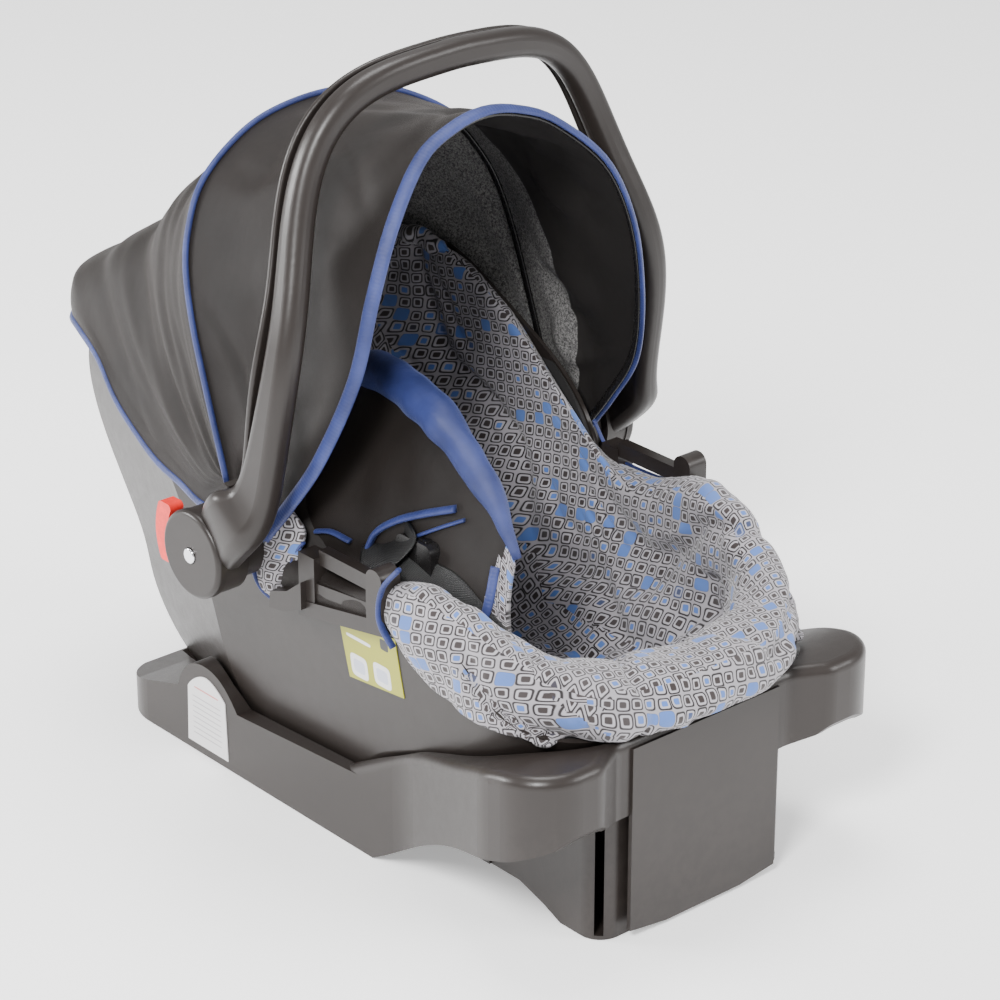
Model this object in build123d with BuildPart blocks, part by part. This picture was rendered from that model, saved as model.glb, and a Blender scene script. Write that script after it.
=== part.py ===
"""Infant car seat: a carrier shell with pad, canopy and carry handle, clipped into a car base.

Millimetres. +Z is up, X is the seat's width, -Y is the foot end and +Y the head end.
The origin is on the floor, under the middle of the whole seat.
"""
import os
from math import cos, radians, sin

from build123d import *

os.makedirs("parts", exist_ok=True)

# ---- driving dimensions --------------------------------------------------------------------
WALL = 3.5                # moulded plastic
FIT = 0.5                 # clearance between pieces that move past each other
HUB_Y, HUB_Z = 25.0, 245.0          # axis of the handle and of the canopy, parallel to X
HALF_WIDTH = 225.0        # out to the face of the hub caps
CUT = 260.0               # half reach of a cutter that goes right through the seat

# Height, half width, foot-end y, crease y, head-end y of the carrier's outer skin.
SHELL_LEVELS = (
    (14, 100, -15, 60, 214),
    (65, 133, -118, 84, 260),
    (118, 144, -215, 96, 273),
    (170, 151, -320, 104, 292),
    (240, 158, -334, 130, 326),
    (300, 157, -336, 170, 335),
    (400, 139, -338, 200, 340),
)
SHELL_FRONT_R = (28, 40, 55, 78, 84, 84, 84)
SHELL_REAR_HALF = 0.64    # half width at the head end, as a share of the full half width

# Height, half width, foot-end y, head-end y of the space that the child sits in.
BOWL_LEVELS = (
    (106, 66, -172, -58),
    (124, 92, -212, -14),
    (165, 118, -258, 42),
    (205, 129, -284, 92),
    (260, 136, -296, 160),
    (330, 134, -300, 246),
    (415, 122, -302, 322),
)
PAD_THICK = 13.7

# Rim of the carrier seen from the side, foot end to head end, as (y, z).
RIM = ((-342, 172), (-300, 181), (-262, 198), (-236, 220), (-206, 238), (-168, 236))
RIM_REAR = ((-42, 236), (-16, 284), (50, 345), (150, 390), (215, 374), (285, 338), (352, 328))
RECESS = ((-165, 225), (-45, 202))   # floor of the belt recess, between the two rim lines

CANOPY_SKIN = 2.5
CANOPY_REST = (-56.0, 20.0, 71.0)   # front hem, middle seam and rear hem, degrees back from up
CANOPY_ARCH = ((171, 40), (171, 115), (168, 174), (161, 221), (148, 258),
               (126, 291), (92, 319), (50, 338), (0, 344))
HEM = ((-12, 262), (-39, 296), (-72, 344), (-93, 412), (-99, 476), (-94, 529), (-80, 561),
       (-74, 600))

HANDLE_ROUTE = ((204, 12, 260), (202, -31, 307), (195, -50, 383), (173, -48, 480),
                (152, -34, 540), (112, -31, 603), (58, -36, 624), (0, -38, 628))
HANDLE_WIDTHS = (60, 49, 38, 33, 31, 29, 27, 26)
HANDLE_THICK = 24.0
STRIP_WIDTH = 5.0
HUB_R = 36.0


def save(part, name):
    """Label a finished piece and write it."""
    part.label = name
    export_step(part, f"parts/{name}.step")


def shell_solid(grow, lift=0.0):
    """The carrier's outer form, grown sideways by grow, its underside raised by lift."""
    with BuildPart() as form:
        for (z, half, front, crease, rear), front_r in zip(SHELL_LEVELS, SHELL_FRONT_R):
            level = z + lift if z == SHELL_LEVELS[0][0] else z
            side, tail = half + grow, half * SHELL_REAR_HALF + grow
            with BuildSketch(Plane.XY.offset(level)) as section:
                with BuildLine():
                    Polyline((side, front - grow), (side, crease), (tail, rear + grow),
                             (-tail, rear + grow), (-side, crease), (-side, front - grow),
                             close=True)
                make_face()
                by_y = section.vertices().group_by(Axis.Y)
                fillet(by_y[0], front_r)
                fillet(by_y[1], 30)
                fillet(by_y[2], 34)
        loft()
    return form.part


def bowl_solid(grow):
    """The space inside the pad, grown by grow."""
    with BuildPart() as form:
        for index, (z, half, front, rear) in enumerate(BOWL_LEVELS):
            level = z - grow if index == 0 else z
            with BuildSketch(Plane.XY.offset(level)) as section:
                with Locations((0, (front + rear) / 2 + 0.3 * grow)):
                    Rectangle(2 * (half + grow), rear - front + 2.6 * grow)
                by_y = section.vertices().group_by(Axis.Y)
                fillet(by_y[0], min(0.62 * half, 78))
                fillet(by_y[1], 0.42 * half)
        loft()
    return form.part


def side_slab(points, x_from=-CUT, x_to=CUT, smooth=()):
    """A slab across the seat: a closed side outline, (y, z), after an optional spline."""
    with BuildPart() as slab:
        with BuildSketch(Plane.YZ.offset(x_from)):
            with BuildLine():
                if smooth:
                    Spline(*smooth)
                    Polyline(smooth[-1], *points, smooth[0])
                else:
                    Polyline(*points, close=True)
            make_face()
        extrude(amount=x_to - x_from)
    return slab.part


def below_rim(rise=0.0):
    """Everything under the carrier's rim, raised by rise."""
    floor = [(y, z + rise) for y, z in RECESS]
    front = [(y, z + rise) for y, z in RIM]
    rear = [(y, z + rise) for y, z in RIM_REAR]
    with BuildPart() as slab:
        with BuildSketch(Plane.YZ.offset(-CUT)):
            with BuildLine():
                Spline(*front)
                Polyline(front[-1], *floor, rear[0])
                Spline(*rear)
                Polyline(rear[-1], (CUT * 2, rear[-1][1]), (CUT * 2, -20), (-CUT * 2, -20),
                         (-CUT * 2, front[0][1]), front[0])
            make_face()
        extrude(amount=2 * CUT)
    return slab.part


def both_sides(part):
    """A piece for the left side and its twin for the right side."""
    return {"left": part, "right": mirror(part, about=Plane.YZ)}


def tube_x(radius, x_from, x_to, bore=0.0):
    """A disc or ring on the hub axis, from x_from to x_to."""
    with BuildPart() as ring:
        with BuildSketch(Plane.YZ.offset(x_from)):
            with Locations((HUB_Y, HUB_Z)):
                Circle(radius)
                if bore:
                    Circle(bore, mode=Mode.SUBTRACT)
        extrude(amount=x_to - x_from)
    return ring.part


# ---- carrier shell -------------------------------------------------------------------------
BOSS_R, BOSS_END = 30.0, 190.0
BOLT_R = 5.0
skin = shell_solid(0)
skin_inside = shell_solid(-WALL, lift=WALL)
rim_slab = below_rim()

with BuildPart() as boss_pair:
    add(tube_x(BOSS_R, 140, BOSS_END))
    add(tube_x(BOSS_R, -BOSS_END, -140))

with BuildPart() as latch_box:
    with Locations((0, 180, 30)):
        Box(120 + 2 * WALL, 36 + 2 * WALL, 44)
with BuildPart() as latch_notch:
    with Locations((0, 180, 24)):
        Box(120, 36, 48)

with BuildPart() as carrier_shell:
    add(skin)
    add(boss_pair.part)
    add(skin_inside, mode=Mode.SUBTRACT)
    add(rim_slab, mode=Mode.INTERSECT)
    add(latch_box.part & skin)
    add(latch_notch.part, mode=Mode.SUBTRACT)
    for x in (-BOSS_END, 140):
        add(tube_x(BOLT_R + 0.2, x, x + 50), mode=Mode.SUBTRACT)
    with Locations((0, 285, 150)):
        Box(44, 60, 34, mode=Mode.SUBTRACT)
save(carrier_shell.part, "carrier_shell")

# ---- foam between the shell and the pad, with a bay for the harness gear ---------------------
with BuildPart() as energy_foam:
    add(shell_solid(-WALL - 1, lift=WALL + 1))
    add(below_rim(-2), mode=Mode.INTERSECT)
    add(bowl_solid(PAD_THICK + 0.4), mode=Mode.SUBTRACT)
    with Locations((0, 0, 40)):
        Box(2 * CUT, 4 * CUT, 80, mode=Mode.SUBTRACT)
    with Locations((0, 270, 110)):
        Box(48, 76, 130, mode=Mode.SUBTRACT)
save(energy_foam.part, "energy_foam")

# ---- pad: liner of the bowl and the roll over the foot-end rim --------------------------------
PAD_TOP = ((-302, 212), (-270, 222), (-242, 246), (-206, 258), (-168, 246), (-150, 222),
           (-60, 222), (-42, 250), (-16, 296), (50, 353), (150, 397), (215, 382), (285, 350),
           (340, 342))
with BuildPart() as seat_pad:
    add(bowl_solid(PAD_THICK))
    add(shell_solid(-WALL - 0.3), mode=Mode.INTERSECT)
    add(side_slab(((340, 60), (-302, 60)), smooth=PAD_TOP), mode=Mode.INTERSECT)
    add(bowl_solid(0), mode=Mode.SUBTRACT)
save(seat_pad.part, "seat_pad")

FLAP_TOP = ((-360, 186), (-318, 196), (-272, 216), (-246, 242), (-208, 255), (-174, 248),
            (-158, 216), (-184, 190), (-242, 182), (-300, 182), (-360, 182))
with BuildPart() as pad_foot_roll:
    add(shell_solid(12))
    add(side_slab(FLAP_TOP), mode=Mode.INTERSECT)
    add(shell_solid(0.4) & below_rim(0.4), mode=Mode.SUBTRACT)
    add(bowl_solid(PAD_THICK + 0.2), mode=Mode.SUBTRACT)
save(pad_foot_roll.part, "pad_foot_roll")

# ---- the loose pad wing on the left, with its piped top edge ----------------------------------
WING_X = (-106.0, -94.0)
WING_ROLL = ((-98, 62, 338), (-98, 6, 368), (-98, -60, 372), (-98, -126, 352), (-98, -186, 310),
             (-98, -222, 262))
WING_ROLL_R = 12.0


def wing_tube(radius):
    """A round tube along the wing's top edge."""
    with BuildPart() as tube:
        with BuildLine() as roll_path:
            Spline(*WING_ROLL)
        with BuildSketch(Plane(origin=roll_path.line @ 0, z_dir=roll_path.line % 0)):
            Circle(radius)
        sweep()
    return tube.part


wing_top = tuple((y, z) for _, y, z in WING_ROLL)
with BuildPart() as pad_wing:
    add(side_slab(((-226, 212), (40, 212), (64, 230)), *WING_X, smooth=wing_top))
    add(wing_tube(WING_ROLL_R + FIT), mode=Mode.SUBTRACT)
save(pad_wing.part, "pad_wing")

with BuildPart() as pad_wing_roll:
    add(wing_tube(WING_ROLL_R))
save(pad_wing_roll.part, "pad_wing_roll")

# ---- belt guides in the recess of each side ---------------------------------------------------
GUIDE_SHELF = ((-152, 223), (-46, 202.8), (-46, 216), (-152, 236))
GUIDE_FRONT = ((-152, 224), (-133, 221), (-133, 277), (-152, 277))
GUIDE_REAR = ((-66, 208), (-46, 205), (-46, 258), (-66, 258))
GUIDE_FOOT = ((-56, 236), (-38, 222), (-16, 214), (-14, 199), (-32, 202), (-56, 212))
GUIDE_BARS = (((-134, 251), (-65, 251), (-65, 264), (-134, 264)),
              ((-134, 234), (-65, 226), (-65, 236), (-134, 244)))
with BuildPart() as belt_guide:
    add(side_slab(GUIDE_FRONT, -172, -153))
    add(side_slab(GUIDE_REAR, -170, -153))
    fillet(belt_guide.edges().filter_by(Axis.X).group_by(Axis.Z)[-1], 9)
    add(side_slab(GUIDE_FOOT, -176, -161))
    add(side_slab(GUIDE_SHELF, -171, -153))
    for bar, x_out in zip(GUIDE_BARS, (-164, -168)):
        add(side_slab(bar, x_out, -154))
for side, part in both_sides(belt_guide.part).items():
    save(part, f"belt_guide_{side}")

# ---- buckle, its red button and the lap strap on the left -------------------------------------
BUCKLE = (-122.0, -142.0, 262.0)
with BuildPart() as buckle:
    with Locations(BUCKLE):
        Box(20, 42, 56)
    fillet(buckle.edges().filter_by(Axis.X), 8)
    with Locations((BUCKLE[0], BUCKLE[1], BUCKLE[2] + 24)):
        Box(12.8, 22.8, 20, mode=Mode.SUBTRACT)
save(buckle.part, "harness_buckle")

with BuildPart() as buckle_button:
    with Locations((BUCKLE[0], BUCKLE[1], BUCKLE[2] + 24.5)):
        Box(12, 22, 9)
    fillet(buckle_button.edges().group_by(Axis.Z)[-1], 1.5)
save(buckle_button.part, "buckle_button")

with BuildPart() as buckle_spring:
    with BuildSketch(Plane.XY.offset(BUCKLE[2] + 14)):
        with Locations(BUCKLE[:2]):
            Circle(4)
            Circle(2.6, mode=Mode.SUBTRACT)
    extrude(amount=6)
save(buckle_spring.part, "buckle_spring")

with BuildPart() as lap_strap:
    with Locations((BUCKLE[0], BUCKLE[1], BUCKLE[2] - 46)):
        Box(2.4, 36, 36)
save(lap_strap.part, "lap_strap")

# ---- harness gear in the bay under the foam ---------------------------------------------------
with BuildPart() as splitter_plate:
    with Locations((0, 90, 64)):
        Box(56, 40, 3)
    fillet(splitter_plate.edges().filter_by(Axis.Z), 8)
    for x in (-18, 18):
        with Locations((x, 98, 64)):
            Box(24, 4, 10, mode=Mode.SUBTRACT)
save(splitter_plate.part, "splitter_plate")

with BuildPart() as harness_adjuster:
    with Locations((0, -20, 52)):
        Box(44, 46, 16)
    fillet(harness_adjuster.edges().filter_by(Axis.Z), 5)
    with Locations((0, -20, 52)):
        Box(32, 60, 6, mode=Mode.SUBTRACT)
save(harness_adjuster.part, "harness_adjuster")

with BuildPart() as adjuster_strap:
    with BuildSketch(Plane.YZ.offset(-13)):
        with BuildLine():
            Polyline((-40, 51), (20, 51), (72, 61), (72, 62.2), (19.8, 52.4), (-40, 52.4), close=True)
        make_face()
    extrude(amount=26)
save(adjuster_strap.part, "adjuster_strap")

# ---- release lever at the back, its link and the latch hook over the base's rod ----------------
with BuildPart() as release_lever:
    with BuildSketch(Plane.YZ.offset(-18)):
        with BuildLine():
            Polyline((272, 138), (302, 138), (302, 142), (314, 142), (314, 158), (302, 158),
                     (302, 154), (272, 154), close=True)
        make_face()
    extrude(amount=36)
save(release_lever.part, "release_lever")

with BuildPart() as release_link:
    with BuildSketch(Plane.YZ.offset(-7)):
        with BuildLine():
            Polyline((271.6, 152), (268.6, 152), (246, 66), (166, 66), (166, 62), (249, 62),
                     (271.6, 146), close=True)
        make_face()
    extrude(amount=14)
save(release_link.part, "release_link")

with BuildPart() as latch_hook:
    with BuildSketch(Plane.YZ.offset(-12)):
        with BuildLine():
            Polyline((166, 66.2), (196, 66.2), (196, 74), (166, 74), close=True)
        make_face()
    extrude(amount=24)
save(latch_hook.part, "latch_hook")

# ---- labels, blank ------------------------------------------------------------------------------
LABEL_THICK = 0.8
with BuildPart() as side_label:
    add(shell_solid(LABEL_THICK))
    add(skin, mode=Mode.SUBTRACT)
    label_area = ((-79, 203), (-149, 216), (-152, 163), (-83, 155))
    add(side_slab(label_area, -CUT, 0), mode=Mode.INTERSECT)
save(side_label.part, "side_label")

# ---- carry handle --------------------------------------------------------------------------------
DISC_IN, DISC_OUT = 192.0, 214.0
CAP_R, CAP_OUT = 37.0, 223.0


def handle_loop(route, widths, thick, wide=0.0):
    """The handle's arms and grip: all but the rear strip, or a strip wide across."""
    whole = [*route, *((-x, y, z) for x, y, z in reversed(route[:-1]))]
    with BuildLine():
        spine = Spline(*whole)
    with BuildPart() as loop:
        for point, full in zip(whole, [*widths, *reversed(widths[:-1])]):
            ahead = (spine % spine.param_at_point(Vector(*point))).normalized()
            across = (Vector(0, 1, 0) - ahead * ahead.Y).normalized()
            size = wide or full - STRIP_WIDTH - 3 * FIT
            shift = (full - size) / 2 if wide else (size - full) / 2
            plane = Plane(origin=Vector(*point) + across * shift, x_dir=across, z_dir=ahead)
            with BuildSketch(plane):
                RectangleRounded(size, thick, min(size, thick) * 0.42)
        loft()
    return loop.part


with BuildPart() as handle_disc:
    add(tube_x(HUB_R, DISC_IN, DISC_OUT))
    mirror(about=Plane.YZ)

with BuildPart() as hub_bores:
    add(tube_x(CAP_R + 0.2, DISC_OUT, DISC_OUT + 20))
    add(tube_x(28, DISC_IN - 10, DISC_IN + 7))
    add(tube_x(BOLT_R + 0.2, DISC_IN, DISC_OUT))
    with Locations((206, HUB_Y + 28, HUB_Z)):
        Box(8.8, 24, 10.8)
    mirror(about=Plane.YZ)

with BuildPart() as handle_main:
    add(handle_loop(HANDLE_ROUTE, HANDLE_WIDTHS, HANDLE_THICK))
    add(handle_disc.part)
    add(hub_bores.part, mode=Mode.SUBTRACT)
save(handle_main.part, "handle_main")

with BuildPart() as handle_strip:
    add(handle_loop(HANDLE_ROUTE[1:], HANDLE_WIDTHS[1:], HANDLE_THICK - 3, wide=STRIP_WIDTH))
save(handle_strip.part, "handle_rear_strip")

with BuildPart() as hub_cap:
    add(tube_x(CAP_R, DISC_OUT, CAP_OUT, bore=7))
    rim_edges = hub_cap.edges().filter_by(GeomType.CIRCLE).sort_by(SortBy.RADIUS)[-2:]
    fillet(rim_edges.sort_by(Axis.X)[-1], 4)

with BuildPart() as pivot_bolt:
    add(tube_x(BOLT_R, 166, CAP_OUT - 4))
    add(tube_x(6.6, CAP_OUT - 4, HALF_WIDTH))
    fillet(pivot_bolt.edges().filter_by(GeomType.CIRCLE).sort_by(Axis.X)[-1], 1.5)

TEETH = 12
with BuildPart() as lock_gear:
    add(tube_x(23, BOSS_END + 0.1, DISC_IN + 6, bore=BOLT_R + 0.2))
    with BuildSketch(Plane.YZ.offset(DISC_IN)):
        with Locations((HUB_Y, HUB_Z)):
            with PolarLocations(24, TEETH):
                Rectangle(6, 5)
    extrude(amount=6)

BUTTON_X = (202.2, 209.8)
with BuildPart() as handle_button:
    with BuildSketch(Plane.YZ.offset(BUTTON_X[0] - 3)):
        with Locations((HUB_Y, HUB_Z)):
            Circle(61)
            Circle(45, mode=Mode.SUBTRACT)
        with Locations((HUB_Y + 60, HUB_Z)):
            Rectangle(60, 52, mode=Mode.INTERSECT)
    extrude(amount=13)
    fillet(handle_button.edges().filter_by(Axis.X), 4)
    with Locations((sum(BUTTON_X) / 2, HUB_Y + 38, HUB_Z)):
        Box(BUTTON_X[1] - BUTTON_X[0], 22, 10)

with BuildPart() as button_spring:
    with BuildSketch(Plane.XZ.offset(-(HUB_Y + 20))):
        with Locations((sum(BUTTON_X) / 2, HUB_Z)):
            Circle(3.4)
            Circle(2.2, mode=Mode.SUBTRACT)
    extrude(amount=-6.5)

HUB_PIECES = {"hub_cap": hub_cap, "pivot_bolt": pivot_bolt, "lock_gear": lock_gear,
              "handle_button": handle_button, "button_spring": button_spring}
for stem, builder in HUB_PIECES.items():
    for side, part in (("right", builder.part), ("left", mirror(builder.part, about=Plane.YZ))):
        save(part, f"{stem}_{side}")

# ---- canopy ----------------------------------------------------------------------------------------
MID_BOW_INSET, FRONT_BOW_INSET = 8.0, 5.0
BOW_RING_R, RING_THICK = 48.0, 1.9


def arch_curve(inset):
    """The canopy's arch from the right foot to the left one, moved inwards by inset."""
    half = []
    for index, (x, r) in enumerate(CANOPY_ARCH):
        if index == 0:
            inward = Vector(-1, 0)
        elif index == len(CANOPY_ARCH) - 1:
            inward = Vector(0, -1)
        else:
            (x_low, r_low), (x_high, r_high) = CANOPY_ARCH[index - 1], CANOPY_ARCH[index + 1]
            inward = Vector(r_low - r_high, x_high - x_low).normalized()
        half.append((x + inset * inward.X, r + inset * inward.Y))
    return [*half, *((-x, r) for x, r in reversed(half[:-1]))]


def arch_band(start, end, inset=0.0):
    """The canopy's arch, one skin thick and inset inwards, turned about the hub axis."""
    up = Vector(0, sin(radians(start)), cos(radians(start)))
    plane = Plane(origin=(0, HUB_Y, HUB_Z), x_dir=(1, 0, 0), z_dir=Vector(1, 0, 0).cross(up))
    outer, inner = arch_curve(inset), arch_curve(inset + CANOPY_SKIN)
    with BuildPart() as band:
        with BuildSketch(plane):
            with BuildLine():
                Spline(*outer)
                Line(outer[-1], inner[-1])
                Spline(*reversed(inner))
                Line(inner[0], outer[0])
            make_face()
        revolve(axis=Axis((0, HUB_Y, HUB_Z), (-1, 0, 0)), revolution_arc=end - start)
    return band.part


def hem_slab(near, far):
    """What lies between two copies of the front hem's curve, moved back by near and far."""
    first = [(y + near, z) for y, z in HEM]
    last = [(y + far, z) for y, z in reversed(HEM)]
    with BuildPart() as slab:
        with BuildSketch(Plane.YZ.offset(-CUT)):
            with BuildLine():
                Spline(*first)
                Line(first[-1], last[0])
                Spline(*last)
                Line(last[-1], first[0])
            make_face()
        extrude(amount=2 * CUT)
    return slab.part


front, middle, rear = CANOPY_REST
with BuildPart() as canopy_front_panel:
    add(arch_band(front, middle - 0.1))
    add(side_slab(((420, 600), (420, 262)), smooth=HEM), mode=Mode.INTERSECT)
save(canopy_front_panel.part, "canopy_front_panel")

with BuildPart() as canopy_rear_panel:
    add(arch_band(middle + 0.1, rear))
save(canopy_rear_panel.part, "canopy_rear_panel")

with BuildPart() as canopy_mid_bow:
    add(arch_band(middle - 1.6, middle, MID_BOW_INSET))
    ring_out = CANOPY_ARCH[0][0] - MID_BOW_INSET
    for x in (ring_out - RING_THICK - 0.3, 0.3 - ring_out):
        add(tube_x(BOW_RING_R, x, x + RING_THICK, bore=BOSS_R + FIT))
save(canopy_mid_bow.part, "canopy_mid_bow")

with BuildPart() as canopy_front_bow:
    add(arch_band(front - 8, middle - 6, FRONT_BOW_INSET))
    add(hem_slab(3, 11), mode=Mode.INTERSECT)
    ring_out = CANOPY_ARCH[0][0] - FRONT_BOW_INSET
    for x in (ring_out - RING_THICK - 0.3, 0.3 - ring_out):
        add(tube_x(BOW_RING_R, x, x + RING_THICK, bore=BOSS_R + FIT))
save(canopy_front_bow.part, "canopy_front_bow")

# ---- base --------------------------------------------------------------------------------------------
TRAY_HALF, LOBE_HALF = 150.0, 186.0
POCKET_GAP = 4.0
TRAY_TOP = ((-350, 176), (-330, 176), (-298, 171), (-238, 148), (-178, 126), (-129, 101), (-72, 68))
TRAY_BUMP = ((70, 58), (80, 70), (96, 82), (116, 86), (136, 80), (148, 66), (154, 54))
TRAY_ARCH = ((-108, 0), (-133, 15), (-177, 44), (-238, 76), (-307, 99), (-344, 116))
TRAY_PLAN = ((TRAY_HALF, 250, 50), (TRAY_HALF, -150, 120), (LOBE_HALF, -285, 60),
             (LOBE_HALF, -350, 44), (122, -350, 22), (92, -333, 18))   # x, y, corner radius


LOBE_ROUND = 9.0


def on_lobe_top(edge):
    """Whether an edge of the base's form runs round the top of the foot-end lobes."""
    middle = edge.center()
    lowest = 125 if middle.Y < -180 else 60
    upright = abs(edge.tangent_at(0.5).Z) > 0.92
    return middle.Y < -90 and abs(middle.X) > 60 and middle.Z > lowest and not upright


def tray_form(inset):
    """The base's outer form, lowered and narrowed by inset to make the hollow inside it."""
    top, bump, arch = ([(y, z - inset) for y, z in curve] for curve in (TRAY_TOP, TRAY_BUMP, TRAY_ARCH))
    with BuildPart() as form:
        with BuildSketch(Plane.YZ.offset(-CUT)):
            with BuildLine():
                Spline(*top)
                Line(top[-1], bump[0])
                Spline(*bump)
                Polyline(bump[-1], (214, 36 - inset), (246, 28 - inset), (250, -inset), arch[0])
                Spline(*arch)
                Polyline(arch[-1], (-350, 124 - inset), top[0])
            make_face()
        extrude(amount=2 * CUT)
        with BuildSketch() as plan:
            right = [(x, y) for x, y, _ in TRAY_PLAN]
            with BuildLine():
                Polyline(*right, *((-x, y) for x, y in reversed(right)), close=True)
            make_face()
            for x, y, radius in TRAY_PLAN:
                pair = [v for v in plan.vertices() if abs(abs(v.X) - x) < 1 and abs(v.Y - y) < 1]
                fillet(pair, radius)
            if inset:
                offset(amount=-inset, mode=Mode.REPLACE)
        extrude(amount=CUT, both=True, mode=Mode.INTERSECT)
        if not inset:
            fillet(form.edges().filter_by(on_lobe_top), LOBE_ROUND)
    return form.part


pocket = shell_solid(POCKET_GAP, lift=-POCKET_GAP)
ROD_Y, ROD_Z, ROD_R = 180.0, 33.0, 5.0
with BuildPart() as base_hollow:
    add(tray_form(WALL))
    add(shell_solid(POCKET_GAP + WALL, lift=-POCKET_GAP - WALL), mode=Mode.SUBTRACT)

with BuildPart() as base_tray:
    add(tray_form(0))
    add(base_hollow.part, mode=Mode.SUBTRACT)
    add(pocket, mode=Mode.SUBTRACT)
    for x in (-46, 46):
        with Locations((x, ROD_Y, 24)):
            Box(12, 22, 33)
    with BuildSketch(Plane.XZ.offset(331.5)):
        with BuildLine():
            Polyline((-78, 8), (-78, 168), (78, 168), (78, 8), (40, 3), (-40, 3), close=True)
        make_face()
    extrude(amount=4)
    with BuildSketch(Plane.YZ.offset(-60)):
        with Locations((ROD_Y, ROD_Z)):
            Circle(ROD_R + 0.05)
    extrude(amount=120, mode=Mode.SUBTRACT)
save(base_tray.part, "base_tray")

with BuildPart() as latch_rod:
    with BuildSketch(Plane.YZ.offset(-51)):
        with Locations((ROD_Y, ROD_Z)):
            Circle(ROD_R)
    extrude(amount=102)
save(latch_rod.part, "latch_rod")

LABEL_ARCH = ((86, 62), (96, 70), (112, 76), (128, 70), (138, 60))
with BuildPart() as base_label:
    label_foot = ((140, 8), (84, 8))
    add(side_slab(label_foot, -TRAY_HALF - LABEL_THICK, -TRAY_HALF, smooth=LABEL_ARCH))
save(base_label.part, "base_label")

# ---- recline foot, with its locking racks and knob ---------------------------------------------------
FOOT_HALF = 102.0
FOOT_SIDE = ((-325, 0), (-281, 0), (-262, 8), (-233, 17), (-150, 17), (-150, 56), (-205, 82),
             (-325, 134))
with BuildPart() as recline_foot:
    add(side_slab(FOOT_SIDE, -FOOT_HALF, FOOT_HALF))
    posts = [e for e in recline_foot.edges().filter_by(Axis.Z) if e.center().Y < -300]
    fillet(posts, 20)
    inside = [(max(-325 + WALL, min(y, -150 - WALL)), z + WALL) for y, z in FOOT_SIDE[:5]]
    inner_top = ((-153.5, 90), (-205, 120), (-321.5, 170))
    add(side_slab((*inside, *inner_top), -FOOT_HALF + WALL, FOOT_HALF - WALL), mode=Mode.SUBTRACT)
save(recline_foot.part, "recline_foot")

with BuildPart() as foot_rack:
    with Locations((-FOOT_HALF - 1.5, -190, 38)):
        Box(3, 20, 40)
    for step in range(4):
        with Locations((-FOOT_HALF - 4, -190, 24 + 9 * step)):
            Box(2, 12, 4)
    mirror(about=Plane.YZ)
save(foot_rack.part, "foot_racks")
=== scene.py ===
"""Infant car seat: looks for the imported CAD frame. Metres, +Z up, -Y is the foot end."""

from math import cos, pi, radians, sin

import bmesh
import bpy
import numpy as np
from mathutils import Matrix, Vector, noise


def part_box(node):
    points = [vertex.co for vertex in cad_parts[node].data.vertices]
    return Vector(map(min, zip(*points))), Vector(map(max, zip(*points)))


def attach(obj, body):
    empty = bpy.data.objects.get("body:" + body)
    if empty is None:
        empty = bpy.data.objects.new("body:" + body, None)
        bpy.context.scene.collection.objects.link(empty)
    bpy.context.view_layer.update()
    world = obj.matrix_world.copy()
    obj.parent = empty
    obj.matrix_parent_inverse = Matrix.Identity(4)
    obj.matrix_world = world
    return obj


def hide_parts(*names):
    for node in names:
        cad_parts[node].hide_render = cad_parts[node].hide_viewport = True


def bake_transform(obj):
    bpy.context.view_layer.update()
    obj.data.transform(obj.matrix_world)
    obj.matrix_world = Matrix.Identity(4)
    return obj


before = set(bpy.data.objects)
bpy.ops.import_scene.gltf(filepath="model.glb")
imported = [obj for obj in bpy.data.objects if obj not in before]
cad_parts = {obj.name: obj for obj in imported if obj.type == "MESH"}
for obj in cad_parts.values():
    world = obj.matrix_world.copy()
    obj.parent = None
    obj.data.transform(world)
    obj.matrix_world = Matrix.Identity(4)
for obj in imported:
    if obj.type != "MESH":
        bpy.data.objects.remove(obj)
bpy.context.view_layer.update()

MM = 0.001
HUB = (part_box("pivot_bolt_left")[0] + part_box("pivot_bolt_right")[1]) / 2   # middle of the hub axis
PLASTIC = (0.0165, 0.0128, 0.0112)
TRIM = (0.0145, 0.0112, 0.0098)
BLACK = (0.0049, 0.0034, 0.0028)
BLUE = (0.019, 0.029, 0.115)
MARL_DARK, MARL_PALE = (0.02, 0.019, 0.019), (0.20, 0.195, 0.19)
CLOTH_THICK = 0.0014
FLOOR_HALF, FLOOR_DROP = 60.0, 0.0006


# ---- camera, lights, floor ----------------------------------------------------------------------
def camera():
    """A long lens, looking down a little at the foot end's left corner."""
    azimuth, elevation, distance = radians(-40.92), radians(24.73), 2.70
    aim = Vector((-0.063, -0.1645, 0.311))
    back = Vector((sin(azimuth) * cos(elevation), -cos(azimuth) * cos(elevation), sin(elevation)))
    cam = bpy.data.objects.new("camera", bpy.data.cameras.new("camera"))
    cam.data.sensor_width, cam.data.lens = 36, 125.8
    cam.location = aim + back * distance
    cam.rotation_euler = (-back).to_track_quat("-Z", "Y").to_euler()
    bpy.context.collection.objects.link(cam)
    bpy.context.scene.camera = cam


def area_light(name, place, aim, size, power):
    light = bpy.data.lights.new(name, "AREA")
    light.shape, light.size, light.energy = "DISK", size, power
    obj = bpy.data.objects.new(name, light)
    obj.location = place
    obj.rotation_euler = (Vector(aim) - Vector(place)).to_track_quat("-Z", "Y").to_euler()
    bpy.context.collection.objects.link(obj)


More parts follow.
